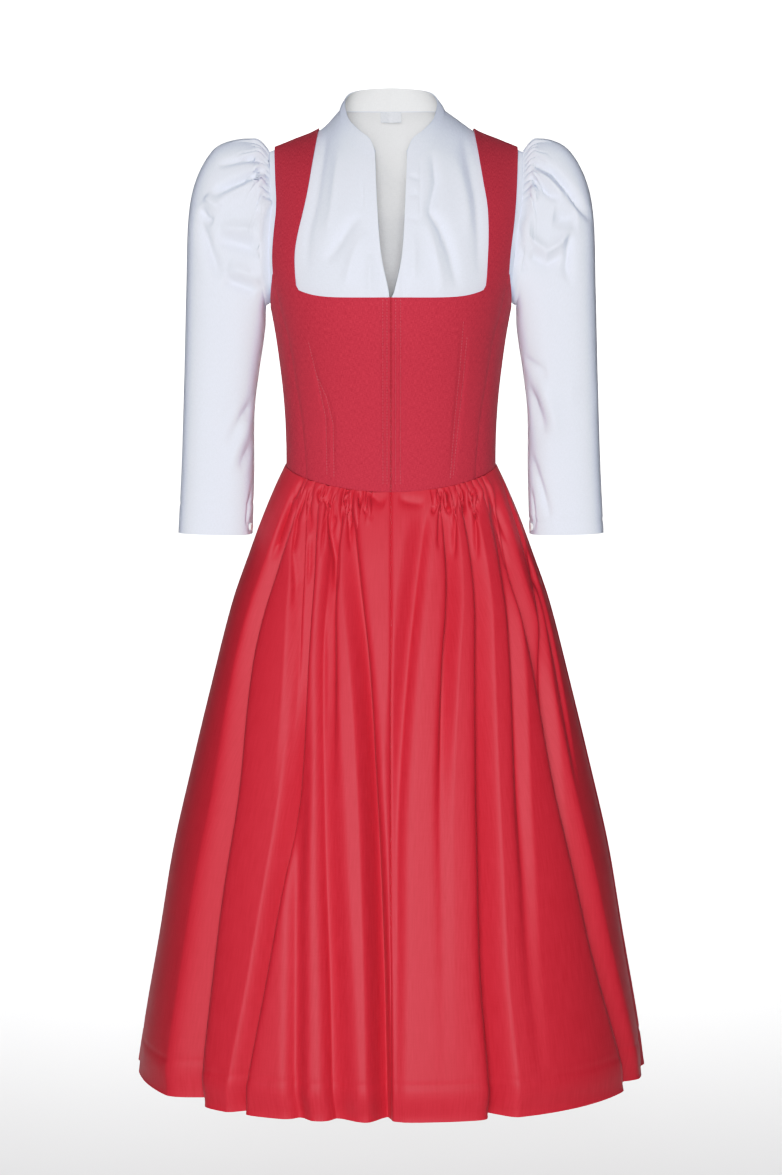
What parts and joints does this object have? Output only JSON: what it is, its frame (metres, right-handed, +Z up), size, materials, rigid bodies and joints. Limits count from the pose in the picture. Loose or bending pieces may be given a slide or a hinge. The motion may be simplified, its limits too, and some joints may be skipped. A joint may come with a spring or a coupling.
{
  "type": "dirndl dress with blouse",
  "caption": "Folk dress: fitted bodice with wide straps and a low square neckline, long gathered skirt, and a stand-collar blouse with gathered three-quarter sleeves.",
  "frame": {"origin": "midway between the shoulders, level with the tops of the shoulder straps, where the wearer carries the dress", "axes": "+Z up, the wearer faces -Y, and the wearer's left is +X"},
  "size_m": [0.6053, 0.5387, 1.154],
  "materials": {
    "bodice_linen": "plain woven linen, matt, in red",
    "skirt_sateen": "cotton sateen with a soft sheen, in red",
    "blouse_poplin": "smooth cotton poplin, matt, in white",
    "cuff_button": "moulded polyester with a pearly gloss"
  },
  "bodies": {
    "root": {"bodice_front_left": "bodice_linen", "bodice_front_right": "bodice_linen", "bodice_side_left": "bodice_linen", "bodice_side_right": "bodice_linen", "bodice_back_left": "bodice_linen", "bodice_back_right": "bodice_linen", "skirt_front_left": "skirt_sateen", "skirt_front_right": "skirt_sateen", "skirt_back_left": "skirt_sateen", "skirt_back_right": "skirt_sateen", "blouse_front_left": "blouse_poplin", "blouse_front_right": "blouse_poplin", "blouse_back": "blouse_poplin", "collar": "blouse_poplin", "sleeve_left": "blouse_poplin", "sleeve_right": "blouse_poplin", "cuff_button_left": "cuff_button", "cuff_button_right": "cuff_button"}
  },
  "joints": []
}
